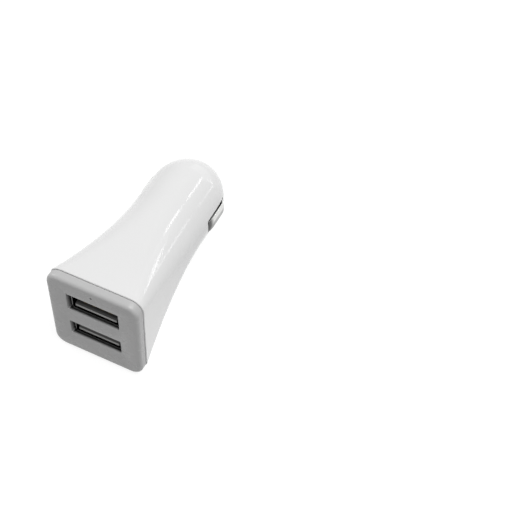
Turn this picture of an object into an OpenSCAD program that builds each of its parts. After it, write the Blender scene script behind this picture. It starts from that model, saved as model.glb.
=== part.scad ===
// Charger plug with two ports for a car's round power socket.
// Each piece is drawn with y measured from the front face and z from the plug's axis.
// in_place() then lays the plug down, with the underside of its head on z = 0.

/* [Housing] */
// Width of the mouth
head_w = 25.4; // [25.2:0.1:28]
// Height of the mouth
head_h = 28.2; // [28:0.1:31]
// Corner radius of the mouth
head_corner_r = 3.4; // [2.6:0.1:5]
// Diameter of the round barrel
barrel_d = 20.8; // [20.2:0.1:21.2]
// Wall thickness of the housing
wall = 1.5; // [1.2:0.1:1.7]
// Length of the blend from the mouth to the round barrel
flare_l = 33.4; // [33:0.2:40]
// How soon the left and right sides turn in towards the barrel
side_power = 2; // [1.6:0.05:2.4]
// How soon the top and the underside turn in towards the barrel
top_power = 1.4; // [1.2:0.05:2]
// How soon the corners grow round
corner_power = 1.55; // [1.2:0.05:2.2]
// Length of the straight round stretch ahead of the side contacts
seat_l = 4.5; // [3.5:0.1:7]
// Length of the drafted stretch that holds the side contacts
taper_l = 6.7; // [6:0.1:9]
// Radius that the drafted stretch loses
draft = 0.1; // [0.05:0.05:0.2]
// Length of the domed nose
dome_l = 11.6; // [11:0.1:15]
// Thickness of the nose around the tip
nose_t = 2.4; // [2:0.1:3]
// Thickness of the thin rim around the plate's spigot
rim_t = 1.2; // [1:0.05:1.4]

/* [Face plate] */
// Thickness of the plate in view
plate_t = 2.6; // [2:0.1:3.4]
// How far the plate's edge stands inside the mouth's on each side
plate_inset = 0.2; // [0.05:0.05:0.4]
// Rounding radius of the plate's front edge
plate_edge_r = 1.0; // [0.4:0.1:1.4]
// Depth of the shadow groove between plate and housing
groove_d = 0.4; // [0.2:0.05:0.6]
// Width of the shadow groove
groove_w = 0.25; // [0.15:0.05:0.4]
// Thickness of the lip in front of the port shells
lip_t = 1.0; // [0.8:0.1:1.4]
// Length of the spigot behind the plate
spigot_l = 2.0; // [1.5:0.1:2.6]
// Wall thickness of the spigot
spigot_t = 1.2; // [0.8:0.1:1.4]
// Clearance around the spigot
spigot_gap = 0.1; // [0.05:0.05:0.2]
// Length of each clip arm behind the plate
clip_l = 5.6; // [5:0.1:7]
// Width of each clip arm
clip_w = 6; // [4:0.5:9]
// Thickness of each clip arm
clip_t = 0.9; // [0.7:0.1:1.1]
// How far a clip's barb stands out of its arm
barb_h = 0.7; // [0.6:0.05:0.8]
// Diameter of the light hole
light_hole_d = 0.6; // [0.5:0.05:1]
// Distance from the top of the head down to the light hole
light_hole_in = 2.7; // [2.5:0.1:3.2]

/* [Ports] */
// Distance between the two ports' centres
port_pitch = 9.96; // [9.4:0.02:10.4]
// Height of the point midway between the ports above the axis
port_mid_z = 0.5; // [0:0.1:0.7]
// Width of each cutout in the plate
cutout_w = 14.2; // [13.4:0.1:15]
// Height of the lower cutout
cutout_h = 5.05; // [4.9:0.05:5.2]
// Extra height at the top of the upper cutout
upper_extra_h = 1; // [0:0.1:1.2]
// Outer width of a port's metal shell
shell_w = 13.1; // [13:0.1:13.3]
// Outer height of a port's metal shell
shell_h = 5.72; // [5.6:0.02:5.9]
// Thickness of the shell's sheet
shell_t = 0.3; // [0.25:0.05:0.35]
// Length of a port's metal shell
shell_l = 13.4; // [12.5:0.1:14]
// Clearance between a shell and the plate's pocket
shell_gap = 0.1; // [0.05:0.05:0.2]
// Space beside a tongue in its shell
tongue_side = 0.55; // [0.4:0.05:0.8]
// Thickness of a port's tongue
tongue_t = 1.2; // [1:0.1:1.84]
// Space between the shell's floor and the tongue
tongue_rise = 0.6; // [0.5:0.02:1]
// Distance from the front face to the tongue's front edge
tongue_y = 1.4; // [1.2:0.1:3]
// Length of the block that closes the back of a shell
block_l = 3.6; // [3:0.1:4.5]
// Distance between neighbouring contact strips
strip_pitch = 2.3; // [2:0.1:2.5]
// Width of a contact strip
strip_w = 1; // [0.8:0.1:1.2]
// Thickness of a contact strip
strip_t = 0.25; // [0.2:0.05:0.35]
// Width of a shell's solder leg
leg_w = 1.6; // [1.2:0.1:2]

/* [Board] */
// Thickness of the circuit board
board_t = 1.6; // [1.2:0.1:1.7]
// Distance from the front face to the board's front edge
board_y = 5; // [4.8:0.1:6]
// Width of the board behind the ports
board_head_w = 18; // [16:0.1:18.4]
// Width of the board in the barrel
board_mid_w = 16.4; // [14.4:0.1:16.6]
// Clearance between the board and what guides it
board_gap = 0.1; // [0.05:0.05:0.2]
// Height of the rails that guide the board
rail_h = 1; // [0.6:0.1:1.5]
// Length of the rails that guide the board
rail_l = 12; // [6:0.5:13]
// How far the rails reach over the board's edge
rail_lap = 0.6; // [0.4:0.1:1]
// Diameter of the inductor
inductor_d = 5.8; // [4:0.1:6]
// Height of the inductor
inductor_h = 4.6; // [3:0.1:5]
// Diameter of the input capacitor
input_cap_d = 6.3; // [5:0.1:6.5]
// Height of the input capacitor
input_cap_h = 6; // [5:0.1:6.2]
// Diameter of the output capacitor
output_cap_d = 5; // [4:0.1:5.6]
// Height of the output capacitor
output_cap_h = 5.4; // [4:0.1:5.8]
// Length of the regulator chip
chip_l = 4.9; // [4:0.1:5.2]
// Width of the regulator chip without its leads
chip_w = 3.9; // [3:0.1:4.2]
// Height of the regulator chip
chip_h = 1.5; // [1:0.1:1.8]
// Length of the rectifier diode
diode_l = 4.3; // [3.5:0.1:4.6]
// Width of the rectifier diode
diode_w = 2.6; // [2:0.1:3]
// Height of the rectifier diode
diode_h = 2.1; // [1.5:0.1:2.4]
// Thickness of the light guide
guide_t = 1; // [0.8:0.1:1.1]
// Width of the light guide
guide_w = 1.6; // [1.2:0.1:2]

/* [Tip] */
// Diameter of the tip contact
tip_d = 4.2; // [3.6:0.1:4.6]
// How far the tip stands out of the nose
tip_out = 1.6; // [1.2:0.1:2]
// How far the tip can be pressed in
tip_travel = 1.4; // [1:0.1:1.5]
// Diameter of the tip's collar
collar_d = 6; // [5.6:0.1:6.4]
// Thickness of the tip's collar
collar_t = 1; // [0.8:0.1:1.2]
// Running clearance around the tip, on the radius
tip_gap = 0.06; // [0.04:0.01:0.1]
// Mean diameter of the tip's spring
spring_d = 4.4; // [4.2:0.1:4.8]
// Diameter of the spring's wire
wire_d = 0.5; // [0.4:0.05:0.6]
// Turns in the tip's spring
spring_turns = 7; // [5:0.5:9]
// Thickness of the spring's seat
seat_plate_t = 0.4; // [0.3:0.05:0.6]

/* [Side contacts] */
// Distance from the start of the straight round stretch to the slots
slot_lead = 4.7; // [4.6:0.1:5.5]
// Length of each slot
slot_l = 10.1; // [9.4:0.1:11]
// Clearance around each contact in its slot
slot_gap = 0.3; // [0.2:0.05:0.4]
// Width of each contact
leaf_w = 4; // [3:0.1:5]
// Thickness of each contact's sheet
leaf_t = 0.4; // [0.3:0.05:0.5]
// How far each contact stands out of the barrel
leaf_out = 0.55; // [0.4:0.05:0.7]
// How far each contact can be pressed in
leaf_travel = 0.8; // [0.7:0.05:0.85]
// Length of each contact's foot inside the housing
foot_l = 3; // [2.2:0.1:3.4]
// Space between a contact's foot and the bore
foot_gap = 0.5; // [0.4:0.05:0.6]

/* [Hidden] */
$fn = 64;

// Small overlap that joins solids, and the length by which a cut runs past one
eps = 0.01;
over = 1;

// Housing
barrel_r = barrel_d / 2;
seat_y = plate_t + flare_l;
taper_y = seat_y + seat_l;
dome_y = taper_y + taper_l;
nose_y = dome_y + dome_l;
dome_r = barrel_r - draft;
total_l = nose_y + tip_out;
// The flare ends a hair inside the barrel, so that its flat facets stay clear of the round wall
flare_r = barrel_r - 0.02;
flare_rings = 14;
corner_steps = 16;
dome_steps = 24;
ring_points = 4 * corner_steps;

// Face plate
plate_w = head_w - 2 * plate_inset;
plate_h = head_h - 2 * plate_inset;
plate_corner_r = head_corner_r - plate_inset;
recess_w = head_w - 2 * rim_t;
recess_h = head_h - 2 * rim_t;
recess_corner_r = head_corner_r - rim_t;
spigot_w = recess_w - 2 * spigot_gap;
spigot_h = recess_h - 2 * spigot_gap;
spigot_corner_r = recess_corner_r - spigot_gap;
spigot_bore_w = spigot_w - 2 * spigot_t;
spigot_bore_h = spigot_h - 2 * spigot_t;
clip_x = spigot_bore_w / 2;
clip_end_y = plate_t + clip_l;
barb_l = 1.6;
barb_lead = 1;
clip_side_gap = 0.5;
light_hole_z = head_h / 2 - light_hole_in;
light_pin_gap = 0.05;

// Ports
upper_z = port_mid_z + port_pitch / 2;
lower_z = port_mid_z - port_pitch / 2;
shell_y = lip_t + shell_gap;
shell_end_y = shell_y + shell_l;
shell_floor = -shell_h / 2 + shell_t;
tongue_w = shell_w - 2 * shell_t - 2 * tongue_side;
tongue_top = shell_floor + tongue_rise + tongue_t;
block_w = shell_w - 2 * shell_t - 2 * shell_gap;
block_h = shell_h - 2 * shell_t - 2 * shell_gap;
block_y = shell_end_y - block_l;
strip_start = 1;
strip_gap = 0.05;
strip_leg_gap = 0.2;
leg_in = 5.4;
leg_y = shell_y + leg_in;
leg_step = 2.4;
upper_leg_ys = [leg_y, leg_y + 2 * leg_step];
lower_leg_ys = [leg_y + leg_step, leg_y + 3 * leg_step];
leg_gap = 0.15;
leg_past = 0.3;

// Board
board_top = port_mid_z + board_t / 2;
board_under = port_mid_z - board_t / 2;
board_head_past = 6;
board_head_end = shell_end_y + board_head_past;
board_end_gap = 0.6;
board_mid_end = seat_y + slot_lead - foot_l - board_end_gap;
board_end = dome_y - board_end_gap;
rail_end = board_mid_end - rail_h;
rail_out = barrel_r - wall / 2;
part_gap = 2;
can_gap = 1;
led_w = 1.6;
led_y = shell_end_y + part_gap + led_w / 2;
input_cap_y = led_y + led_w / 2 + part_gap + input_cap_d / 2;
inductor_y = input_cap_y + input_cap_d / 2 + can_gap + inductor_d / 2;
resistor_w = 1.25;
resistor_l = 2;
resistor_t = 0.5;
resistor_x = 4;
resistor_y = inductor_y + inductor_d / 2 + part_gap;
resistor_pitch = 2.7;
output_cap_y = shell_end_y + part_gap + can_gap + output_cap_d / 2;
chip_y = output_cap_y + output_cap_d / 2 + part_gap + chip_l / 2;
diode_y = chip_y + chip_l / 2 + part_gap + diode_w / 2;
led_base_h = 0.5;
led_lens_d = 1.2;
led_lens_h = 0.35;
guide_gap = 0.1;
guide_drop = 2;
guide_z = upper_z + shell_h / 2 + guide_gap;
guide_top_z = light_hole_z + guide_w / 2;
guide_y = plate_t + spigot_gap;
light_pin_y = 0.6;

// Tip
tip_r = tip_d / 2;
tip_hole_r = tip_r + tip_gap;
collar_seat_y = nose_y - nose_t;
collar_gap = 0.3;
pocket_r = collar_d / 2 + collar_gap;
inner_dome_r = dome_r - wall;
inner_dome_l = dome_l - 2 * wall;
stop_gap = 0.04;
collar_y = collar_seat_y - stop_gap - collar_t;
boss_r = 1.7;
boss_l = 1;
seat_gap = 0.05;
seat_plate_y = board_end + seat_gap;
seat_tab_l = 3;
seat_tab_w = 3;
spring_gap = 0.03;
// The stem behind the collar meets the seat's boss where the tip's travel ends
stem_y = seat_plate_y + seat_plate_t + boss_l + tip_travel + seat_gap;
spring_start = seat_plate_y + seat_plate_t + spring_gap + wire_d / 2;
spring_end = collar_y - spring_gap - wire_d / 2;
wire_sides = 8;
turn_steps = 20;

// Side contacts
slot_y = seat_y + slot_lead;
slot_w = leaf_w + 2 * slot_gap;
leaf_y = slot_y + slot_gap;
leaf_end = slot_y + slot_l - slot_gap;
foot_x = barrel_r - wall - foot_gap;
crest_x = barrel_r + leaf_out;
shoulder_x = barrel_r - draft;
tail_x = foot_x + slot_gap;
ramp_l = 2.6;
curl_l = 2;
leg_slant = 0.1;
curve_steps = 8;
tab_l = 2;
tab_reach = 2.2;
tab_gap = 0.05;
foot_clear = 0.5;
board_tail_w = 2 * (foot_x - leaf_t - leaf_travel - foot_clear);

// Size of the flare at y, which runs from its size at the mouth to the barrel's radius
function flared(y, mouth, power) =
    flare_r + (mouth - flare_r) * pow(max(1 - (y - plate_t) / flare_l, 0), power);

// One closed ring of points around the flare, set in from its skin by depth
function flare_ring(y, depth) = [
    for (q = [0:3], i = [0:corner_steps - 1])
        let (
            a = 90 * q + 90 * (i + 0.5) / corner_steps,
            r = flared(y, head_corner_r, corner_power) - depth,
            x = flared(y, head_w / 2, side_power) - depth - r,
            z = flared(y, head_h / 2, top_power) - depth - r
        )
        [x * sign(cos(90 * q + 45)) + r * cos(a), y, z * sign(sin(90 * q + 45)) + r * sin(a)]
];

// Rings stand closer together near the mouth, where the section changes fastest
function flare_y(k) = plate_t + flare_l * pow(k / flare_rings, 1.2);

// Four faces between points i and i + 1 of two neighbouring rings that start at a and b
function band(a, b, i) =
    let (j = (i + 1) % ring_points)
    [[a + i, a + j, b + j], [a + i, b + j, b + i]];

// Quarter ellipse from the radius r at y to a smaller radius, as [radius, y] points
function dome_points(r, y, l, r_end) = [
    for (i = [0:dome_steps])
        let (a = acos(r_end / r) * i / dome_steps)
        [r * cos(a), y + l * sin(a)]
];

function reversed(list) = [for (i = [len(list) - 1:-1:0]) list[i]];

// Outline of one side of a contact's sheet, as [x, y] points, set in by depth
function leaf_line(depth) = concat(
    [
        [foot_x - depth, leaf_y - foot_l],
        [foot_x - depth, leaf_y + depth],
    ],
    [
        for (i = [0:curve_steps])
            let (a = 90 * i / curve_steps)
            [
                shoulder_x - depth + (crest_x - shoulder_x) * sin(a),
                leaf_y + depth + leg_slant + ramp_l * (1 - cos(a))
            ]
    ],
    [
        for (i = [0:curve_steps])
            let (a = 90 * i / curve_steps)
            [
                tail_x - depth + (crest_x - tail_x) * cos(a),
                leaf_end - curl_l + (curl_l - depth) * sin(a)
            ]
    ]
);

module in_place() {
    translate([0, -total_l / 2, head_h / 2]) children();
}

// Turns a shape so that its z axis runs along the plug
module along() {
    rotate([-90, 0, 0]) children();
}

// Slab standing across the plug, from y to y + l
module slab(w, h, y, l, z = 0) {
    translate([-w / 2, y, z - h / 2]) cube([w, l, h]);
}

module rounded_rectangle(w, h, r) {
    square([w, h - 2 * r], center = true);
    square([w - 2 * r, h], center = true);
    for (x = [-1, 1], y = [-1, 1])
        translate([x * (w / 2 - r), y * (h / 2 - r)]) circle(r = r);
}

module rounded_prism(w, h, r, y, l) {
    translate([0, y, 0]) along() linear_extrude(height = l) rounded_rectangle(w, h, r);
}

// Hollow blend from the mouth to the round barrel
module flare() {
    n = flare_rings;
    m = ring_points;
    inner = (n + 1) * m;
    skin = concat(
        [for (k = [0:n]) each flare_ring(flare_y(k), 0)],
        [for (k = [0:n]) each flare_ring(flare_y(k), wall)]
    );
    faces = concat(
        [for (k = [0:n - 1], i = [0:m - 1]) each band(k * m, (k + 1) * m, i)],
        [for (k = [0:n - 1], i = [0:m - 1]) each band(inner + (k + 1) * m, inner + k * m, i)],
        [for (i = [0:m - 1]) each band(inner, 0, i)],
        [for (i = [0:m - 1]) each band(n * m, inner + n * m, i)]
    );
    polyhedron(points = skin, faces = faces);
}

// Round barrel and domed nose, with the pocket and hole for the tip
module barrel() {
    along() rotate_extrude() polygon(concat(
        [[barrel_r, seat_y], [barrel_r, taper_y]],
        dome_points(dome_r, dome_y, dome_l, tip_hole_r),
        [[tip_hole_r, collar_seat_y], [pocket_r, collar_seat_y]],
        reversed(dome_points(inner_dome_r, dome_y, inner_dome_l, pocket_r)),
        [[barrel_r - wall, taper_y], [barrel_r - wall, seat_y]]
    ));
}

module rails() {
    for (side = [-1, 1], edge = [-1, 1])
        translate([
            side > 0 ? board_mid_w / 2 - rail_lap : -rail_out,
            rail_end - rail_l,
            edge > 0 ? board_top + board_gap : board_under - board_gap - rail_h
        ])
            cube([rail_out - board_mid_w / 2 + rail_lap, rail_l, rail_h]);
}

module housing() {
    color("white") in_place() difference() {
        union() {
            flare();
            barrel();
            rails();
        }
        rounded_prism(recess_w, recess_h, recess_corner_r, plate_t - eps,
            spigot_l + spigot_gap + eps);
        for (side = [-1, 1]) {
            translate([side * (clip_x + barb_h / 2), clip_end_y - barb_l / 2, 0])
                cube(
                    [barb_h + 2 * spigot_gap, barb_l + 2 * spigot_gap, clip_w + 2 * clip_side_gap],
                    center = true
                );
            translate([side * barrel_r, slot_y + slot_l / 2, 0])
                cube([4 * wall, slot_l, slot_w], center = true);
        }
    }
}

// Section of the plate over the width w between one pair of its edges, rounded at the front
module plate_section(w) {
    r = plate_edge_r;
    translate([-w / 2, r]) square([w, plate_t - groove_w - r]);
    translate([-w / 2 + r, 0]) square([w - 2 * r, plate_t - groove_w]);
    for (x = [-1, 1])
        translate([x * (w / 2 - r), r]) circle(r = r);
}

module plate_corner() {
    r = plate_edge_r;
    along() rotate_extrude() {
        translate([0, r]) square([plate_corner_r, plate_t - groove_w - r]);
        square([plate_corner_r - r, plate_t - groove_w]);
        translate([plate_corner_r - r, r]) circle(r = r);
    }
}

module plate_slab() {
    straight_w = plate_w - 2 * plate_corner_r;
    straight_h = plate_h - 2 * plate_corner_r;
    linear_extrude(height = straight_h, center = true) plate_section(plate_w);
    rotate([0, 90, 0]) linear_extrude(height = straight_w, center = true) plate_section(plate_h);
    for (x = [-1, 1], z = [-1, 1])
        translate([x * straight_w / 2, 0, z * straight_h / 2]) plate_corner();
    rounded_prism(plate_w - 2 * groove_d, plate_h - 2 * groove_d, plate_corner_r - groove_d,
        plate_t / 2, plate_t / 2);
}

module clip() {
    translate([clip_x - clip_t, plate_t - eps, -clip_w / 2]) cube([clip_t, clip_l + eps, clip_w]);
    translate([0, clip_end_y, 0]) linear_extrude(height = clip_w, center = true) polygon([
        [clip_x - eps, -barb_l],
        [clip_x + barb_h, -barb_l],
        [clip_x + barb_h, -barb_lead],
        [clip_x - eps, 0]
    ]);
}

module face_plate() {
    color([0.6, 0.6, 0.61]) in_place() difference() {
        union() {
            plate_slab();
            difference() {
                rounded_prism(spigot_w, spigot_h, spigot_corner_r, plate_t - eps, spigot_l + eps);
                rounded_prism(spigot_bore_w, spigot_bore_h, spigot_corner_r, plate_t - 2 * eps,
                    spigot_l + 4 * eps);
                slab(guide_w + 2 * clip_side_gap, spigot_h, plate_t, spigot_l + over, spigot_h / 2);
            }
            clip();
            mirror([1, 0, 0]) clip();
        }
        slab(cutout_w, cutout_h, -over, plate_t + 2 * over, lower_z);
        slab(cutout_w, cutout_h + upper_extra_h, -over, plate_t + 2 * over,
            upper_z + upper_extra_h / 2);
        for (z = [lower_z, upper_z])
            slab(shell_w + 2 * shell_gap, shell_h + 2 * shell_gap, lip_t, plate_t, z);
        translate([0, -over, light_hole_z]) along()
            cylinder(d = light_hole_d, h = plate_t + 2 * over);
    }
}

// Metal shell around one port, with solder legs towards the board
module port_shell(z, board_z, past, leg_ys) {
    color("silver") in_place() {
        difference() {
            slab(shell_w, shell_h, shell_y, shell_l, z);
            slab(shell_w - 2 * shell_t, shell_h - 2 * shell_t, shell_y - over,
                shell_l + 2 * over, z);
        }
        for (side = [-1, 1], y = leg_ys)
            translate([side * (shell_w - shell_t) / 2, y, (z + board_z + past) / 2])
                cube([shell_t, leg_w, abs(z - board_z - past)], center = true);
    }
}

module upper_port_shell() {
    port_shell(upper_z, board_under, -leg_past, upper_leg_ys);
}

module lower_port_shell() {
    port_shell(lower_z, board_top, leg_past, lower_leg_ys);
}

// Places its child at each of a port's four contact strips
module each_strip() {
    for (i = [-1.5:1:1.5])
        translate([i * strip_pitch, 0, 0]) children();
}

module port_tongue(z) {
    color("gainsboro") in_place() difference() {
        union() {
            slab(tongue_w, tongue_t, tongue_y, block_y - tongue_y + eps,
                z + tongue_top - tongue_t / 2);
            slab(block_w, block_h, block_y, block_l, z);
        }
        each_strip()
            slab(strip_w + 2 * strip_gap, strip_t + strip_gap, block_y - eps, block_l + over,
                z + tongue_top + (strip_t + strip_gap) / 2);
    }
}

module upper_port_tongue() {
    port_tongue(upper_z);
}

module lower_port_tongue() {
    port_tongue(lower_z);
}

// Four bent strips on top of the tongue, each with a leg to the board behind the shell
module port_contacts(z, board_z) {
    strip_z = z + tongue_top;
    start = tongue_y + strip_start;
    leg_start = shell_end_y + strip_leg_gap;
    leg_low = min(strip_z, board_z);
    leg_high = max(strip_z + strip_t, board_z);
    color("goldenrod") in_place() each_strip() {
        slab(strip_w, strip_t, start, leg_start + strip_t - start, strip_z + strip_t / 2);
        slab(strip_w, leg_high - leg_low, leg_start, strip_t, (leg_high + leg_low) / 2);
    }
}

module upper_port_contacts() {
    port_contacts(upper_z, board_top);
}

module lower_port_contacts() {
    port_contacts(lower_z, board_under);
}

module circuit_board() {
    color("darkgreen") in_place() difference() {
        union() {
            slab(board_head_w, board_t, board_y, board_head_end - board_y, port_mid_z);
            slab(board_mid_w, board_t, board_y, board_mid_end - board_y, port_mid_z);
            slab(board_tail_w, board_t, board_y, board_end - board_y, port_mid_z);
        }
        for (side = [-1, 1], y = concat(upper_leg_ys, lower_leg_ys))
            translate([side * (shell_w - shell_t) / 2, y, port_mid_z])
                cube([shell_t + 2 * leg_gap, leg_w + 2 * leg_gap, 2 * board_t], center = true);
    }
}

// Drum core with a winding between two flanges
module power_inductor() {
    flange_t = 0.8;
    flange_lap = 0.5;
    color("dimgray") in_place() translate([0, inductor_y, board_top]) {
        cylinder(d = inductor_d, h = flange_t);
        cylinder(d = inductor_d - 2 * flange_lap, h = inductor_h);
        translate([0, 0, inductor_h - flange_t]) cylinder(d = inductor_d, h = flange_t);
    }
}

// Can with a crimped neck on a square base
module can_capacitor(d, h) {
    base_h = 0.8;
    neck_h = 0.5;
    neck_in = 0.3;
    translate([-d / 2, -d / 2, 0]) cube([d, d, base_h]);
    cylinder(d = d - 2 * neck_in, h = h);
    translate([0, 0, base_h + neck_h]) cylinder(d = d, h = h - base_h - neck_h);
}

module input_capacitor() {
    color("lightsteelblue") in_place() translate([0, input_cap_y, board_top])
        can_capacitor(input_cap_d, input_cap_h);
}

module output_capacitor() {
    color("lightsteelblue") in_place() translate([0, output_cap_y, board_under])
        rotate([180, 0, 0]) can_capacitor(output_cap_d, output_cap_h);
}

module regulator_chip() {
    lead_w = 0.4;
    lead_l = 1;
    lead_pitch = 1.27;
    lead_h = 0.2;
    color("black") in_place() translate([0, chip_y, board_under]) {
        translate([0, 0, -chip_h / 2]) cube([chip_w, chip_l, chip_h], center = true);
        for (side = [-1, 1], i = [-1.5:1:1.5])
            translate([side * (chip_w + lead_l) / 2, i * lead_pitch, -lead_h / 2])
                cube([lead_l + 2 * eps, lead_w, lead_h], center = true);
    }
}

module rectifier_diode() {
    end_l = 0.8;
    end_h = 1.1;
    color("black") in_place() translate([0, diode_y, board_under]) {
        translate([0, 0, -diode_h / 2]) cube([diode_l, diode_w, diode_h], center = true);
        for (side = [-1, 1])
            translate([side * diode_l / 2, 0, -end_h / 2])
                cube([end_l, diode_w / 2, end_h], center = true);
    }
}

module chip_resistors() {
    color("black") in_place()
        for (x = [-1, 1], y = [0, 1])
            translate([x * resistor_x, resistor_y + y * resistor_pitch, board_top + resistor_t / 2])
                cube([resistor_w, resistor_l, resistor_t], center = true);
}

module status_led() {
    color("lightyellow") in_place() translate([0, led_y, board_top]) {
        translate([0, 0, led_base_h / 2]) cube([led_w, led_w, led_base_h], center = true);
        cylinder(d = led_lens_d, h = led_base_h + led_lens_h);
    }
}

// Clear strip that bends from the light on the board over the upper port to the plate
module light_guide() {
    foot_z = board_top + led_base_h + led_lens_h + spigot_gap;
    back = led_y + guide_t / 2;
    color([0.9, 0.95, 1, 0.5]) in_place() {
        rotate([90, 0, 90]) linear_extrude(height = guide_w, center = true) polygon([
            [guide_y, guide_z],
            [guide_y, guide_top_z],
            [guide_y + guide_t, guide_top_z],
            [guide_y + guide_t, guide_z + guide_t],
            [shell_end_y, guide_z + guide_t],
            [back, guide_z + guide_t - guide_drop],
            [back, foot_z],
            [back - guide_t, foot_z],
            [back - guide_t, guide_z - guide_drop],
            [shell_end_y, guide_z]
        ]);
        translate([0, light_pin_y, light_hole_z]) along()
            cylinder(d = light_hole_d - 2 * light_pin_gap, h = guide_y - light_pin_y + eps);
    }
}

// Sheet cup on the board's end that carries the tip's spring
module spring_seat() {
    color("silver") in_place() {
        translate([0, seat_plate_y, 0]) along() {
            cylinder(d = collar_d, h = seat_plate_t);
            cylinder(r = boss_r, h = seat_plate_t + boss_l);
        }
        for (z = [board_top + seat_plate_t / 2, board_under - seat_plate_t / 2])
            slab(seat_tab_w, seat_plate_t, board_end - seat_tab_l, seat_tab_l + seat_plate_t, z);
    }
}

module tip_contact() {
    color("silver") in_place() along() {
        translate([0, 0, collar_y]) cylinder(d = collar_d, h = collar_t);
        translate([0, 0, stem_y]) cylinder(r = boss_r, h = collar_y + collar_t - stem_y);
        translate([0, 0, collar_y]) cylinder(r = tip_r, h = total_l - tip_r - collar_y);
        translate([0, 0, total_l - tip_r]) sphere(r = tip_r);
    }
}

// Ring of points around the spring's wire at step k
function wire_ring(k) =
    let (
        a = 360 * k / turn_steps,
        y = spring_start + (spring_end - spring_start) * k / (spring_turns * turn_steps)
    )
    [
        for (j = [0:wire_sides - 1])
            let (
                b = 360 * j / wire_sides,
                r = spring_d / 2 + wire_d / 2 * cos(b)
            )
            [r * cos(a), y + wire_d / 2 * sin(b), r * sin(a)]
    ];

module tip_spring() {
    n = spring_turns * turn_steps;
    m = wire_sides;
    color("silver") in_place() polyhedron(
        points = [for (k = [0:n]) each wire_ring(k)],
        faces = concat(
            [[for (j = [0:m - 1]) j]],
            [
                for (k = [0:n - 1], j = [0:m - 1])
                    let (a = k * m + j, b = k * m + (j + 1) % m)
                    each [[a, a + m, b + m], [a, b + m, b]]
            ],
            [[for (j = [m - 1:-1:0]) n * m + j]]
        )
    );
}

// Bent spring sheet that stands out through a slot, with a tab to the board
module side_contact() {
    linear_extrude(height = leaf_w, center = true)
        polygon(concat(leaf_line(0), reversed(leaf_line(leaf_t))));
    translate([foot_x - tab_reach, leaf_y - foot_l, board_top + tab_gap])
        cube([tab_reach, tab_l, leaf_t]);
}

module right_contact() {
    color("silver") in_place() side_contact();
}

module left_contact() {
    color("silver") in_place() mirror([1, 0, 0]) side_contact();
}

housing();
face_plate();
upper_port_shell();
lower_port_shell();
upper_port_tongue();
lower_port_tongue();
upper_port_contacts();
lower_port_contacts();
circuit_board();
power_inductor();
input_capacitor();
output_capacitor();
regulator_chip();
rectifier_diode();
chip_resistors();
status_led();
light_guide();
spring_seat();
tip_contact();
tip_spring();
left_contact();
right_contact();
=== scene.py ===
"""Looks of a two-port charger plug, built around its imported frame.

All lengths are metres, in the frame's own axes.
"""

from math import acos, atan2, copysign, cos, degrees, hypot, pi, radians, sin

import bmesh
import bpy
from mathutils import Matrix, Vector


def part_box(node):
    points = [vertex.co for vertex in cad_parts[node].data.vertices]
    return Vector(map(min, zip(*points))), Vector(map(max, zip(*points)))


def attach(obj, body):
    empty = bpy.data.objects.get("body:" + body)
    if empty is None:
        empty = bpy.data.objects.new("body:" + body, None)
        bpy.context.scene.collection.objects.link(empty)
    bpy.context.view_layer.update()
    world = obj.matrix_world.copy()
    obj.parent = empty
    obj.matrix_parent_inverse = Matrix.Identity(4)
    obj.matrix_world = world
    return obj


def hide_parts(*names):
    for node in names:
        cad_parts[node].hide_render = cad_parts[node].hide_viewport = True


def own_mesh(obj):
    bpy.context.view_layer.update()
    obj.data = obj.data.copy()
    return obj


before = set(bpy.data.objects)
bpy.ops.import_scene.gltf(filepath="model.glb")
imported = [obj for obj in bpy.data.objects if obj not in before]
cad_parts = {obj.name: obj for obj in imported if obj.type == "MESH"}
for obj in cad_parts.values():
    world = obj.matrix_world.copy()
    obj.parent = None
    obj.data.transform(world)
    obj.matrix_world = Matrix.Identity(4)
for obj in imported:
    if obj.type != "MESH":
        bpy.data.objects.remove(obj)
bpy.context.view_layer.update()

MM = 0.001
RING = 96

# Sizes of the plug, as in the part's source, with y measured from the front face
HEAD_W = 25.4 * MM
HEAD_H = 28.2 * MM
HEAD_CORNER_R = 3.4 * MM
BARREL_R = 10.4 * MM
WALL = 1.5 * MM
RIM = 1.2 * MM
FLARE_L = 33.4 * MM
SIDE_POWER = 2.0
TOP_POWER = 1.4
CORNER_POWER = 1.55
SEAT_L = 4.5 * MM
TAPER_L = 6.7 * MM
DRAFT = 0.1 * MM
DOME_L = 11.6 * MM
NOSE_T = 2.4 * MM
PLATE_T = 2.6 * MM
PLATE_INSET = 0.2 * MM
PLATE_EDGE_R = 1.0 * MM
GROOVE_D = 0.4 * MM
GROOVE_W = 0.25 * MM
LIP_T = 1.0 * MM
SPIGOT_L = 2.0 * MM
SPIGOT_T = 1.2 * MM
SPIGOT_GAP = 0.1 * MM
CUTOUT_W = 14.2 * MM
CUTOUT_H = 5.05 * MM
UPPER_EXTRA_H = 1.0 * MM
SHELL_H = 5.72 * MM
SHELL_GAP = 0.1 * MM
LIGHT_HOLE_R = 0.3 * MM
LIGHT_HOLE_Z = 11.4 * MM
TONGUE_Y = 1.4 * MM
CLIP_L = 5.6 * MM
CLIP_W = 6.0 * MM
CLIP_T = 0.9 * MM
BARB_H = 0.7 * MM
BARB_L = 1.6 * MM
BARB_LEAD = 1.0 * MM
CLIP_SIDE_GAP = 0.5 * MM
GUIDE_W = 1.6 * MM
RAIL_H = 1.0 * MM
RAIL_L = 12.0 * MM
RAIL_LAP = 0.6 * MM
BOARD_MID_W = 16.4 * MM
BOARD_GAP = 0.1 * MM
BOARD_END_GAP = 0.6 * MM
LEAF_W = 4.0 * MM
TIP_HOLE_R = 2.16 * MM
TIP_POCKET_R = 3.3 * MM
SLOT_GAP = 0.3 * MM
SLOT_LEAD = 4.7 * MM
SLOT_L = 10.1 * MM
SLOT_CORNER_R = 0.5 * MM

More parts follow.
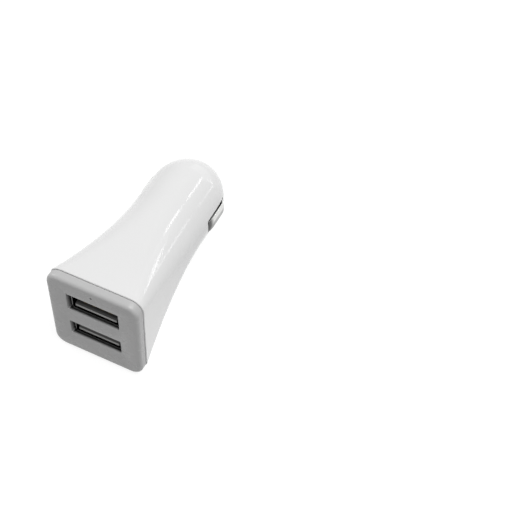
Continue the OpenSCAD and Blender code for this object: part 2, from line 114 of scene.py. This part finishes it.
# Eased edges and other detail that only the scene has
RIM_ROUND = 0.17 * MM
CUTOUT_CORNER_R = 0.25 * MM
CUTOUT_EDGE = 0.15 * MM
SHELL_EDGE = 0.08 * MM
TONGUE_CHAMFER = 0.6 * MM
TONGUE_EDGE = 0.1 * MM
LEAF_EDGE = 0.1 * MM
LEAF_CROWN = 0.28 * MM
LEAF_STRIPS = 10

# Painted shade, and the contacts' darker ramps: where each starts, how far it takes to be full,
# and how strong it is
TONGUE_SHADE_Y = 1.42 * MM
TONGUE_SHADE_L = 0.12 * MM
WALL_SHADE_Y = 0.3 * MM
WALL_SHADE = 1.6
LOW_SHADE_Z = 0.8 * MM
LOW_SHADE_FADE = 1.0 * MM
LOW_SHADE = 0.68
RAMP_L = 5.2 * MM
RAMP_DARK_FADE = 1.4 * MM
RAMP_DARK = 0.86

# Working values: a tolerance for picking edges, the band over and under the cutouts, and the
# reach of the slots' cutters
HAIR = 0.01 * MM
CUTOUT_BAND = 4.0 * MM
SLOT_IN_X = 7.4 * MM
SLOT_OUT_X = 13.0 * MM

# Places that follow from the frame
FACE_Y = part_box("face_plate")[0][1]
AXIS_Z = HEAD_H / 2
AIM = Vector((0, 0, AXIS_Z))
SEAT_Y = PLATE_T + FLARE_L
TAPER_Y = SEAT_Y + SEAT_L
DOME_Y = TAPER_Y + TAPER_L
NOSE_Y = DOME_Y + DOME_L
SPIGOT_IN = RIM + SPIGOT_GAP - PLATE_INSET
CLIP_X = HEAD_W / 2 - RIM - SPIGOT_GAP - SPIGOT_T
CLIP_END_Y = PLATE_T + CLIP_L


def place(x, y, z):
    """Frame position of a point measured from the front face and the plug's axis."""
    return Vector((x, FACE_Y + y, AXIS_Z + z))


# Modelling helpers


def deselect():
    if bpy.context.object and bpy.context.object.mode != "OBJECT":
        bpy.ops.object.mode_set(mode="OBJECT")
    bpy.ops.object.select_all(action="DESELECT")


def activate(piece):
    deselect()
    piece.select_set(True)
    bpy.context.view_layer.objects.active = piece


def settle(piece):
    """Puts a piece's place, turn and size into its mesh."""
    activate(piece)
    bpy.ops.object.transform_apply(location=True, rotation=True, scale=True)


def tidy_normals(piece):
    activate(piece)
    bpy.ops.object.mode_set(mode="EDIT")
    bpy.ops.mesh.select_all(action="SELECT")
    bpy.ops.mesh.normals_make_consistent(inside=False)
    bpy.ops.object.mode_set(mode="OBJECT")


def smooth(piece, angle=35):
    activate(piece)
    bpy.ops.object.shade_smooth_by_angle(angle=radians(angle))


def apply_modifiers(piece):
    activate(piece)
    for modifier in list(piece.modifiers):
        bpy.ops.object.modifier_apply(modifier=modifier.name)


def round_edges(piece, width, angle=40):
    modifier = piece.modifiers.new("Round", "BEVEL")
    modifier.width = width
    modifier.segments = 2
    modifier.limit_method = "ANGLE"
    modifier.angle_limit = radians(angle)
    apply_modifiers(piece)


def combine(piece, other, operation):
    modifier = piece.modifiers.new("Combine", "BOOLEAN")
    modifier.operation = operation
    modifier.solver = "EXACT"
    modifier.object = other
    apply_modifiers(piece)
    bpy.data.objects.remove(other, do_unlink=True)


def cut(piece, cutter):
    combine(piece, cutter, "DIFFERENCE")


def unite(piece, other):
    combine(piece, other, "UNION")


def block(name, low, high):
    """Box between two corners, given from the front face and the axis."""
    deselect()
    low, high = place(*low), place(*high)
    bpy.ops.mesh.primitive_cube_add(size=1, location=(low + high) / 2)
    piece = bpy.context.object
    piece.name = name
    piece.scale = high - low
    settle(piece)
    return piece


def bevel_where(piece, wanted, width, segments):
    """Bevels the edges of a piece that a test of their two ends picks."""
    activate(piece)
    bpy.ops.object.mode_set(mode="EDIT")
    bpy.ops.mesh.select_all(action="DESELECT")
    bpy.ops.mesh.select_mode(type="EDGE")
    mesh = bmesh.from_edit_mesh(piece.data)
    for edge in mesh.edges:
        edge.select_set(wanted(edge.verts[0].co, edge.verts[1].co))
    bmesh.update_edit_mesh(piece.data)
    bpy.ops.mesh.bevel(offset=width, segments=segments, profile=0.5, affect="EDGES")
    bpy.ops.object.mode_set(mode="OBJECT")


def merged_copy(node, name):
    """Copy of a CAD node with its loose triangles joined and its flat faces whole again."""
    piece = bpy.data.objects.new(name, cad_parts[node].data.copy())
    bpy.context.collection.objects.link(piece)
    activate(piece)
    bpy.ops.object.mode_set(mode="EDIT")
    bpy.ops.mesh.select_all(action="SELECT")
    bpy.ops.mesh.remove_doubles(threshold=0.001 * MM)
    bpy.ops.mesh.dissolve_limited(angle_limit=radians(0.5))
    bpy.ops.mesh.normals_make_consistent(inside=False)
    bpy.ops.object.mode_set(mode="OBJECT")
    return piece


def section_point(angle, ring):
    """Point of a rounded rectangle at an angle. The ring is its y, half width, half height and
    corner radius."""
    y, half_x, half_z, radius = ring
    x = copysign(half_x - radius, cos(angle)) + radius * cos(angle)
    z = copysign(half_z - radius, sin(angle)) + radius * sin(angle)
    return place(x, y, z)


def loft(name, rings):
    """Skin through rounded rectangles. A circle is extruded once for each ring, and then every
    ring is drawn to its own form. It ends where it began, as the wall of a tube does."""
    deselect()
    bpy.ops.mesh.primitive_circle_add(vertices=RING, radius=1)
    piece = bpy.context.object
    piece.name = name
    piece.rotation_euler = (pi / 2, pi / RING, 0)
    settle(piece)
    bpy.ops.object.mode_set(mode="EDIT")
    bpy.ops.mesh.select_mode(type="EDGE")
    bpy.ops.mesh.select_all(action="SELECT")
    for _ in rings[1:]:
        bpy.ops.mesh.extrude_region_move(TRANSFORM_OT_translate={"value": (0, 1, 0)})
    mesh = bmesh.from_edit_mesh(piece.data)
    last = len(rings) - 1
    for edge in mesh.edges:
        ends = {round(v.co.y) for v in edge.verts}
        edge.select_set(ends == {0} or ends == {last})
    bmesh.update_edit_mesh(piece.data)
    bpy.ops.mesh.bridge_edge_loops()
    bpy.ops.object.mode_set(mode="OBJECT")
    for vertex in piece.data.vertices:
        ring = rings[round(vertex.co.y)]
        vertex.co = section_point(atan2(vertex.co.z, vertex.co.x), ring)
    return piece


def round_rings(points):
    """Rings of a turned form, from (radius, y) points."""
    return [(y, r, r, r) for r, y in points]


def arc(radius_x, radius_y, start, end, steps):
    """Points of an elliptic arc as (radial, along) pairs."""
    turns = [radians(start + (end - start) * k / steps) for k in range(steps + 1)]
    return [(radius_x * cos(t), radius_y * sin(t)) for t in turns]


# Finishes


def finish(name, colour, roughness, metallic=0.0, grain=900, colour_shift=0.04, rough_shift=0.06,
           bump=0.02, coat=0.0, stretch=(1, 1, 1), depth=None, shade=None):
    """Procedural finish: mottled colour, uneven gloss and a fine grain, on Object coordinates.
    It paints shade along the plug by depth, given as start, end and the share of colour left, or
    darkens where the piece's own attribute named by shade is 1, which paints shade, and on the
    contacts also darkens their ramps."""
    material = bpy.data.materials.new(name)
    material.use_nodes = True
    nodes, links = material.node_tree.nodes, material.node_tree.links
    shader = nodes["Principled BSDF"]
    shader.inputs["Metallic"].default_value = metallic
    shader.inputs["Coat Weight"].default_value = coat
    shader.inputs["Coat Roughness"].default_value = 0.13
    place_node = nodes.new("ShaderNodeTexCoord")
    mapping = nodes.new("ShaderNodeMapping")
    mapping.inputs["Scale"].default_value = stretch
    links.new(place_node.outputs["Object"], mapping.inputs["Vector"])

    cloud = nodes.new("ShaderNodeTexNoise")
    cloud.inputs["Scale"].default_value = grain / 8
    cloud.inputs["Detail"].default_value = 4
    links.new(mapping.outputs["Vector"], cloud.inputs["Vector"])
    tint = nodes.new("ShaderNodeValToRGB")
    tint.color_ramp.elements[0].position = 0.3
    tint.color_ramp.elements[1].position = 0.7
    tint.color_ramp.elements[0].color = (*[c * (1 - colour_shift) for c in colour], 1)
    tint.color_ramp.elements[1].color = (*[min(c * (1 + colour_shift), 1) for c in colour], 1)
    links.new(cloud.outputs["Fac"], tint.inputs["Fac"])
    base = tint.outputs["Color"]
    # Painted shade: the colour darkens deeper along the plug, into the ports
    if depth:
        split = nodes.new("ShaderNodeSeparateXYZ")
        links.new(place_node.outputs["Object"], split.inputs["Vector"])
        start, end, left = depth
        base = darken(nodes, links, base, split.outputs["Y"], FACE_Y + start, FACE_Y + end, left)
    # Painted shade where the piece's attribute says so, and on the contacts their darker ramps
    if shade:
        amount = nodes.new("ShaderNodeAttribute")
        amount.attribute_name = shade
        base = darken(nodes, links, base, amount.outputs["Fac"], 0, 1, 0.04)
    links.new(base, shader.inputs["Base Color"])

    gloss = nodes.new("ShaderNodeMapRange")
    gloss.inputs["To Min"].default_value = roughness - rough_shift
    gloss.inputs["To Max"].default_value = roughness + rough_shift
    links.new(cloud.outputs["Fac"], gloss.inputs["Value"])
    links.new(gloss.outputs["Result"], shader.inputs["Roughness"])

    fine = nodes.new("ShaderNodeTexNoise")
    fine.inputs["Scale"].default_value = grain * 4
    fine.inputs["Detail"].default_value = 2
    links.new(mapping.outputs["Vector"], fine.inputs["Vector"])
    relief = nodes.new("ShaderNodeBump")
    relief.inputs["Strength"].default_value = bump
    relief.inputs["Distance"].default_value = 0.1 * MM
    links.new(fine.outputs["Fac"], relief.inputs["Height"])
    links.new(relief.outputs["Normal"], shader.inputs["Normal"])
    return material


def darken(nodes, links, colour, value, start, end, left):
    """Darkens a colour to the share left, as a value goes from start to end."""
    ramp = nodes.new("ShaderNodeMapRange")
    ramp.inputs["From Min"].default_value = start
    ramp.inputs["From Max"].default_value = end
    ramp.inputs["To Min"].default_value = 1
    ramp.inputs["To Max"].default_value = left
    links.new(value, ramp.inputs["Value"])
    scale = nodes.new("ShaderNodeVectorMath")
    scale.operation = "SCALE"
    links.new(colour, scale.inputs[0])
    links.new(ramp.outputs["Result"], scale.inputs["Scale"])
    return scale.outputs["Vector"]


WHITE = finish("gloss_white_plastic", (0.83, 0.83, 0.83), 0.14, grain=250, colour_shift=0.012,
               rough_shift=0.02, bump=0.01, coat=0.5)
# Its port_wall attribute paints shade on the walls of the cutouts and of the light hole
GREY = finish("satin_grey_plastic", (0.54, 0.54, 0.54), 0.27, grain=1600, colour_shift=0.02,
              rough_shift=0.07, bump=0.12, shade="port_wall")
# Painted shade: the port steel darkens to near black deeper into the port
STEEL = finish("port_steel", (0.42, 0.42, 0.42), 0.3, metallic=1, grain=1500, rough_shift=0.08,
               bump=0.05, stretch=(1, 0.15, 1), depth=(0.2 * MM, 1.6 * MM, 0.02))
# Painted shade: the tongue is pale only at its front edge and dark behind it, inside the port
TONGUE = finish("tongue_plastic", (0.62, 0.62, 0.61), 0.45, grain=2000,
                depth=(TONGUE_SHADE_Y, TONGUE_SHADE_Y + TONGUE_SHADE_L, 0.03))
GOLD = finish("gold_strips", (0.83, 0.6, 0.24), 0.25, metallic=1, grain=2500, bump=0.04)
NICKEL = finish("bright_nickel", (0.66, 0.655, 0.64), 0.22, metallic=1, grain=1200,
                rough_shift=0.07, bump=0.05, stretch=(1, 0.12, 1))
# Painted shade on the contacts' lower halves, and darker ramps, from their attribute
SHADE_PAINTED_NICKEL = finish("nickel_painted_shade", (0.66, 0.66, 0.65), 0.24, metallic=1, grain=1800,
                     colour_shift=0.1, rough_shift=0.08, bump=0.06, stretch=(1, 0.15, 1),
                     shade="shade_and_ramp_dark")
LAMINATE = finish("board_laminate", (0.02, 0.14, 0.06), 0.4, grain=3000, colour_shift=0.2)
FERRITE = finish("ferrite", (0.05, 0.05, 0.052), 0.65, grain=4000, colour_shift=0.3, bump=0.2)
CAN = finish("can_aluminium", (0.72, 0.73, 0.75), 0.3, metallic=1, grain=1500)
RESIN = finish("black_resin", (0.03, 0.03, 0.032), 0.55, grain=5000, colour_shift=0.3, bump=0.15)
LED = finish("led_resin", (0.85, 0.83, 0.66), 0.25, grain=4000)
CLEAR = finish("clear_guide", (0.8, 0.84, 0.86), 0.12, grain=800, colour_shift=0.02)
CLEAR.node_tree.nodes["Principled BSDF"].inputs["Transmission Weight"].default_value = 1
SPRING = finish("spring_wire", (0.5, 0.5, 0.5), 0.28, metallic=1, grain=3000)


def dress(piece, material):
    piece.data.materials.clear()
    piece.data.materials.append(material)


def fit(piece, material, body, node):
    """Gives a new piece its finish, its body and the node that it stands for."""
    dress(piece, material)
    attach(piece, body)
    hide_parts(node)


# Housing: one moulding from the mouth to the domed nose


def flare_ring(y, depth=0.0):
    """Section of the flare, which goes from the rounded mouth to the round barrel."""
    left = max(1 - (y - PLATE_T) / FLARE_L, 0)

    def flared(mouth, power):
        return BARREL_R + (mouth - BARREL_R) * left ** power - depth

    return (y, flared(HEAD_W / 2, SIDE_POWER), flared(HEAD_H / 2, TOP_POWER),
            flared(HEAD_CORNER_R, CORNER_POWER))


def flare_ys(steps):
    """Stations along the flare, which lie closer together near the mouth."""
    return [PLATE_T + FLARE_L * (k / steps) ** 1.15 for k in range(steps + 1)]


def dome_side(radius, length, end_radius, steps):
    """Points (radius, y) of the nose's curve, from the barrel to the radius where it stops."""
    stop = degrees(acos(end_radius / radius))
    return [(r, DOME_Y + y) for r, y in arc(radius, length, 0, stop, steps)]


def make_housing():
    """Wall lofted along its outside from the mouth to the tip, and back along its inside."""
    collar_seat_y = NOSE_Y - NOSE_T
    dome_r = BARREL_R - DRAFT
    recess_x = HEAD_W / 2 - RIM
    recess_z = HEAD_H / 2 - RIM
    recess_corner = HEAD_CORNER_R - RIM
    recess_end = PLATE_T + SPIGOT_L + SPIGOT_GAP
    outer = [flare_ring(y) for y in flare_ys(40)]
    y, half_x, half_z, radius = outer[0]
    outer[0] = (y, half_x - RIM_ROUND, half_z - RIM_ROUND, radius - RIM_ROUND)
    outer.insert(1, flare_ring(PLATE_T + RIM_ROUND))
    taper = [(BARREL_R - DRAFT * k / 8, TAPER_Y + TAPER_L * k / 8) for k in range(1, 8)]
    outer += round_rings([(BARREL_R, SEAT_Y + SEAT_L * k / 4) for k in range(1, 5)])
    outer += round_rings(taper + dome_side(dome_r, DOME_L, TIP_HOLE_R, 30))
    pocket = [(TIP_HOLE_R, collar_seat_y), (TIP_POCKET_R, collar_seat_y)]
    inner_dome = dome_side(dome_r - WALL, DOME_L - 2 * WALL, TIP_POCKET_R, 16)[::-1]
    bore = [(BARREL_R - WALL, TAPER_Y), (BARREL_R - WALL, SEAT_Y)]
    inner = round_rings(pocket + inner_dome + bore)
    inner += [flare_ring(y, WALL) for y in flare_ys(24)[::-1] if recess_end + MM < y < SEAT_Y]
    inner.append(flare_ring(recess_end, WALL))
    inner.append((recess_end, recess_x, recess_z, recess_corner))
    inner.append((PLATE_T, recess_x, recess_z, recess_corner))
    housing = loft("housing_shell", outer + inner)
    tidy_normals(housing)
    for side in (-1, 1):
        cut(housing, slot_cutter(side))
        cut(housing, clip_pocket(side))
        for rail in board_rails(side):
            unite(housing, rail)
    smooth(housing, 30)
    fit(housing, WHITE, "plug_body", "housing")


def slot_cutter(side):
    """Round-cornered bar that opens the slot for one side contact."""
    low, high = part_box("left_contact" if side < 0 else "right_contact")
    start = SEAT_Y + SLOT_LEAD
    end = start + SLOT_L
    half = (high[2] - low[2]) / 2 + SLOT_GAP
    inside, outside = sorted((side * SLOT_IN_X, side * SLOT_OUT_X))
    cutter = block("slot_cutter", (inside, start, -half), (outside, end, half))
    bevel_where(cutter, lambda a, b: abs(a.x - b.x) > MM, SLOT_CORNER_R, 4)
    return cutter


def clip_pocket(side):
    """Bar that opens the pocket behind the rim for one clip's barb."""
    inside, outside = sorted((side * (CLIP_X - SPIGOT_GAP), side * (CLIP_X + BARB_H + SPIGOT_GAP)))
    half = CLIP_W / 2 + CLIP_SIDE_GAP
    return block("pocket_cutter", (inside, CLIP_END_Y - BARB_L - SPIGOT_GAP, -half),
                 (outside, CLIP_END_Y + SPIGOT_GAP, half))


def board_rails(side):
    """Two rails that hold one edge of the board, above and below it."""
    low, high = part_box("circuit_board")
    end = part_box("left_contact")[0][1] - FACE_Y - BOARD_END_GAP - SLOT_GAP - RAIL_H
    inside, outside = sorted((side * (BOARD_MID_W / 2 - RAIL_LAP), side * (BARREL_R - WALL / 2)))
    top, under = high[2] - AXIS_Z + BOARD_GAP, low[2] - AXIS_Z - BOARD_GAP
    return [block("board_rail", (inside, end - RAIL_L, z), (outside, end, z + RAIL_H))
            for z in (top, under - RAIL_H)]


# Face plate with its two cutouts and the light hole


def plate_body():
    """Plate with its spigot and clip arms, before any hole."""
    half_x, half_z = HEAD_W / 2 - PLATE_INSET, HEAD_H / 2 - PLATE_INSET
    corner = HEAD_CORNER_R - PLATE_INSET
    back = PLATE_T - GROOVE_W
    plate = block("front_plate", (-half_x, 0, -half_z), (half_x, back, half_z))
    bevel_where(plate, lambda a, b: abs(a.y - b.y) > MM, corner, 14)
    bevel_where(plate, on_front, PLATE_EDGE_R, 6)
    spigot_corner = corner - SPIGOT_IN

    def ring(y, inset, radius):
        return (y, half_x - inset, half_z - inset, radius)

    rear = loft("plate_rear", [
        ring(back / 2, GROOVE_D, corner - GROOVE_D),
        ring(PLATE_T, GROOVE_D, corner - GROOVE_D),
        ring(PLATE_T, SPIGOT_IN, spigot_corner),
        ring(PLATE_T + SPIGOT_L, SPIGOT_IN, spigot_corner),
        ring(PLATE_T + SPIGOT_L, SPIGOT_IN + SPIGOT_T, spigot_corner),
        ring(PLATE_T, SPIGOT_IN + SPIGOT_T, spigot_corner),
        (PLATE_T, MM, MM, MM),
        (back / 2, MM, MM, MM),
    ])
    tidy_normals(rear)
    notch_half = GUIDE_W / 2 + CLIP_SIDE_GAP
    cut(rear, block("guide_notch", (-notch_half, PLATE_T, HEAD_H / 2 - CUTOUT_BAND),
                    (notch_half, 2 * PLATE_T, HEAD_H / 2)))
    unite(plate, rear)
    for side in (-1, 1):
        unite(plate, clip_arm(side))
    return plate


def on_front(a, b):
    """Whether an edge lies on the plate's front face."""
    return max(a.y, b.y) < FACE_Y + HAIR


def in_cutout(point):
    reach_x, reach_z = CUTOUT_W / 2 + HAIR, HEAD_H / 2 - CUTOUT_BAND
    return abs(point.x) < reach_x and abs(point.z - AXIS_Z) < reach_z


def cut_port(plate, node, extra):
    """Cutout in front of a port, taller by extra, and behind the lip the pocket for its shell."""
    z = port_z(node)
    half_w, low, high = CUTOUT_W / 2, z - CUTOUT_H / 2, z + CUTOUT_H / 2 + extra
    hole = block("cutout_cutter", (-half_w, -MM, low), (half_w, 2 * PLATE_T, high))
    bevel_where(hole, lambda a, b: abs(a.y - b.y) > MM, CUTOUT_CORNER_R, 3)
    cut(plate, hole)
    reach_x, reach_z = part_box(node)[1][0] + SHELL_GAP, SHELL_H / 2 + SHELL_GAP
    pocket = block("pocket_cutter", (-reach_x, LIP_T, z - reach_z),
                   (reach_x, 2 * PLATE_T, z + reach_z))
    cut(plate, pocket)


def drill_light_hole(plate):
    deselect()
    bpy.ops.mesh.primitive_cylinder_add(vertices=32, radius=LIGHT_HOLE_R, depth=4 * PLATE_T,
                                        location=place(0, 0, LIGHT_HOLE_Z),
                                        rotation=(pi / 2, 0, 0))
    drill = bpy.context.object
    settle(drill)
    cut(plate, drill)


def shade_walls(plate):
    """Marks the walls of the holes behind the front for painted shade, which doesn't spread over
    the front.
    """
    shades = plate.data.attributes.new("port_wall", "FLOAT", "POINT")
    for vertex in plate.data.vertices:
        from_light = hypot(vertex.co.x, vertex.co.z - AXIS_Z - LIGHT_HOLE_Z)
        in_hole = in_cutout(vertex.co) or from_light < LIGHT_HOLE_R + HAIR
        # Painted shade on the hole walls deeper than the front
        deep = vertex.co.y > FACE_Y + WALL_SHADE_Y and in_hole
        shades.data[vertex.index].value = WALL_SHADE if deep else 0


def make_plate():
    plate = plate_body()
    cut_port(plate, "lower_port_shell", 0)
    cut_port(plate, "upper_port_shell", UPPER_EXTRA_H)
    drill_light_hole(plate)
    bevel_where(plate, lambda a, b: on_front(a, b) and in_cutout(a) and in_cutout(b),
                CUTOUT_EDGE, 2)
    shade_walls(plate)
    smooth(plate, 30)
    fit(plate, GREY, "plug_body", "face_plate")


def clip_arm(side):
    """Arm behind the plate with a barb at its end, which slopes off towards the rear."""
    inside, outside = sorted((side * (CLIP_X - CLIP_T), side * CLIP_X))
    arm = block("clip_arm", (inside, PLATE_T - GROOVE_W, -CLIP_W / 2),
                (outside, CLIP_END_Y, CLIP_W / 2))
    inside, outside = sorted((side * (CLIP_X - CLIP_T / 2), side * (CLIP_X + BARB_H)))
    barb = block("clip_barb", (inside, CLIP_END_Y - BARB_L, -CLIP_W / 2),
                 (outside, CLIP_END_Y, CLIP_W / 2))
    for vertex in barb.data.vertices:
        if abs(vertex.co.x) > CLIP_X and vertex.co.y > FACE_Y + CLIP_END_Y - BARB_L / 2:
            vertex.co.y -= BARB_LEAD
    unite(arm, barb)
    return arm


# Ports: a folded steel shell and a moulded tongue each


def port_z(node):
    """Height of a port's centre above the axis; its shell's legs reach past the other side."""
    low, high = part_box(node)
    if node.startswith("upper"):
        return high[2] - SHELL_H / 2 - AXIS_Z
    return low[2] + SHELL_H / 2 - AXIS_Z


def make_shell(node):
    shell = merged_copy(node, node + "_steel")
    round_edges(shell, SHELL_EDGE)
    smooth(shell, 30)
    fit(shell, STEEL, "plug_body", node)


def make_tongue(node):
    """Tongue whose front edge is chamfered on the side of its strips and eased all round."""
    tongue = merged_copy(node, node + "_moulding")
    front = FACE_Y + TONGUE_Y + HAIR
    top = max(v.co.z for v in tongue.data.vertices if v.co.y < front)
    bevel_where(tongue, lambda a, b: max(a.y, b.y) < front and min(a.z, b.z) > top - HAIR,
                TONGUE_CHAMFER, 1)
    below = top - TONGUE_CHAMFER / 2
    bevel_where(tongue, lambda a, b: max(a.y, b.y) < front and max(a.z, b.z) < below,
                TONGUE_EDGE, 2)
    smooth(tongue, 30)
    fit(tongue, TONGUE, "plug_body", node)


# Spring pieces: a side contact has a crown across its sheet, and the coil gets a mesh of its own


def make_contact(node, side, body):
    """Leaf in its slot. Its lower half is darkened as painted shade, and its ramp is darker too.
    """
    contact = merged_copy(node, node + "_leaf")
    activate(contact)
    bpy.ops.object.mode_set(mode="EDIT")
    for k in range(1, LEAF_STRIPS):
        bpy.ops.mesh.select_all(action="SELECT")
        bpy.ops.mesh.bisect(plane_co=place(0, 0, (k / LEAF_STRIPS - 0.5) * LEAF_W),
                            plane_no=(0, 0, 1))
    bpy.ops.object.mode_set(mode="OBJECT")
    for vertex in contact.data.vertices:
        across = (vertex.co.z - AXIS_Z) / (LEAF_W / 2)
        vertex.co.x -= side * LEAF_CROWN * across ** 2
    round_edges(contact, LEAF_EDGE, angle=50)
    ramp_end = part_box(node)[0][1] + RAMP_L
    # Painted shade on the lower half, and a darker ramp, kept as an attribute
    shades = contact.data.attributes.new("shade_and_ramp_dark", "FLOAT", "POINT")
    for vertex in contact.data.vertices:
        low_side = min(max((LOW_SHADE_Z - (vertex.co.z - AXIS_Z)) / LOW_SHADE_FADE, 0), 1)
        on_ramp = min(max((ramp_end - vertex.co.y) / RAMP_DARK_FADE, 0), 1)
        shades.data[vertex.index].value = max(LOW_SHADE * low_side, RAMP_DARK * on_ramp)
    smooth(contact, 40)
    fit(contact, SHADE_PAINTED_NICKEL, body, node)


def make_spring():
    """Coil behind the tip, which in the real plug shortens towards its seat as the tip goes in.
    Here it gets a mesh of its own.
    """
    coil = merged_copy("tip_spring", "tip_coil")
    smooth(coil, 40)
    fit(coil, SPRING, "plug_body", "tip_spring")
    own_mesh(coil)


for port_node in ("upper_port_shell", "lower_port_shell"):
    make_shell(port_node)
for port_node in ("upper_port_tongue", "lower_port_tongue"):
    make_tongue(port_node)
make_spring()
make_contact("left_contact", -1, "left_leaf")
make_contact("right_contact", 1, "right_leaf")
make_housing()
make_plate()


# Nodes whose shape is kept

for node_name, material in {
    "upper_port_contacts": GOLD,
    "lower_port_contacts": GOLD,
    "circuit_board": LAMINATE,
    "power_inductor": FERRITE,
    "input_capacitor": CAN,
    "output_capacitor": CAN,
    "regulator_chip": RESIN,
    "rectifier_diode": RESIN,
    "chip_resistors": RESIN,
    "status_led": LED,
    "light_guide": CLEAR,
    "spring_seat": NICKEL,
    "tip_contact": NICKEL,
}.items():
    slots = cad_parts[node_name].data.materials
    for slot_index in range(len(slots)):
        slots[slot_index] = material


# Studio: a white sweep whose floor and background look brighter than they light the plug

FLOOR_DROP = 0.2 * MM
FLOOR_LIFT = 0.85
WORLD_LIGHT = 0.34


def seen_directly(nodes, links):
    """Factor of 1 for what the camera, a reflection or a clear piece shows, and 0 for light."""
    path = nodes.new("ShaderNodeLightPath")
    total = path.outputs["Is Camera Ray"]
    for ray in ("Is Glossy Ray", "Is Transmission Ray"):
        add = nodes.new("ShaderNodeMath")
        add.operation = "ADD"
        add.use_clamp = True
        links.new(total, add.inputs[0])
        links.new(path.outputs[ray], add.inputs[1])
        total = add.outputs["Value"]
    return total


def make_floor():
    deselect()
    bpy.ops.mesh.primitive_plane_add(size=3, location=(0, 0, -FLOOR_DROP))
    floor = bpy.context.object
    floor.name = "studio_floor"
    material = bpy.data.materials.new("studio_floor")
    material.use_nodes = True
    nodes, links = material.node_tree.nodes, material.node_tree.links
    shader = nodes["Principled BSDF"]
    shader.inputs["Base Color"].default_value = (0.25, 0.25, 0.25, 1)
    shader.inputs["Roughness"].default_value = 0.9
    shader.inputs["Specular IOR Level"].default_value = 0.1
    shader.inputs["Emission Color"].default_value = (1, 1, 1, 1)
    lift = nodes.new("ShaderNodeMath")
    lift.operation = "MULTIPLY"
    lift.inputs[1].default_value = FLOOR_LIFT
    links.new(seen_directly(nodes, links), lift.inputs[0])
    links.new(lift.outputs["Value"], shader.inputs["Emission Strength"])
    dress(floor, material)


def make_world():
    world = bpy.data.worlds.new("studio")
    bpy.context.scene.world = world
    world.use_nodes = True
    nodes, links = world.node_tree.nodes, world.node_tree.links
    background = nodes["Background"]
    background.inputs["Color"].default_value = (1, 1, 1, 1)
    level = nodes.new("ShaderNodeMapRange")
    level.inputs["To Min"].default_value = WORLD_LIGHT
    level.inputs["To Max"].default_value = 1
    links.new(seen_directly(nodes, links), level.inputs["Value"])
    links.new(level.outputs["Result"], background.inputs["Strength"])


def area_light(name, location, size, power):
    data = bpy.data.lights.new(name, "AREA")
    data.shape = "RECTANGLE"
    data.size, data.size_y = size
    data.energy = power
    lamp = bpy.data.objects.new(name, data)
    bpy.context.collection.objects.link(lamp)
    lamp.location = location
    return lamp


def softbox(name, location, size, power):
    """Broad light that faces the plug."""
    lamp = area_light(name, location, size, power)
    lamp.rotation_euler = (AIM - Vector(location)).to_track_quat("-Z", "Y").to_euler()


def strip_light(name, start, end, width, power):
    """Thin light between two points, which a glossy surface shows as a long line."""
    start, end = Vector(start), Vector(end)
    lamp = area_light(name, (start + end) / 2, (width, (end - start).length), power)
    back = (lamp.location - AIM).normalized()
    along = (end - start).normalized()
    along = (along - along.dot(back) * back).normalized()
    across = along.cross(back)
    lamp.rotation_euler = Matrix((across, along, back)).transposed().to_euler()


def make_camera():
    """Camera of the photograph: the front face's centre lies at face_px in the image."""
    azimuth, elevation, roll = radians(20.43), radians(51.72), radians(5.506)
    distance = 237.59 * MM
    image_px, focal_px = 531, 978.96
    face_px = (94.29, 326.76)
    back = Vector((sin(azimuth) * cos(elevation), -cos(azimuth) * cos(elevation), sin(elevation)))
    level_right = Vector((cos(azimuth), sin(azimuth), 0))
    level_up = back.cross(level_right)
    right = cos(roll) * level_right + sin(roll) * level_up
    up = cos(roll) * level_up - sin(roll) * level_right
    across = (face_px[0] - image_px / 2) / focal_px
    upwards = (image_px / 2 - face_px[1]) / focal_px
    location = place(0, 0, 0) + distance * (back - across * right - upwards * up)
    data = bpy.data.cameras.new("photo_camera")
    data.sensor_width = 36
    data.lens = focal_px / image_px * data.sensor_width
    data.clip_start = 0.01
    data.clip_end = 20
    camera = bpy.data.objects.new("photo_camera", data)
    bpy.context.collection.objects.link(camera)
    turn = Matrix((right, up, back)).transposed().to_4x4()
    camera.matrix_world = Matrix.Translation(location) @ turn
    bpy.context.scene.camera = camera


make_floor()
make_world()
make_camera()
softbox("overhead", (0.33, 0.02, 0.85), (0.7, 0.5), 4.8)
softbox("left_fill", (-0.8, 0.05, 0.5), (0.5, 0.6), 2.0)
softbox("rear_fill", (0.1, 0.95, 0.35), (0.8, 0.5), 0.45)
softbox("front_fill", (0.7, -0.7, 0.25), (0.4, 0.3), 0.35)
strip_light("barrel_strip", (0.278, 0.434, 0.505), (0.225, 0.54, 0.41), 0.036, 0.1)
strip_light("flare_strip", (0.312, 0.571, 0.269), (0.36, 0.58, 0.068), 0.02, 0.075)
strip_light("side_strip", (0.518, 0.427, 0.212), (0.39, 0.575, 0.07), 0.024, 0.05)
bpy.context.scene.view_settings.view_transform = "Standard"
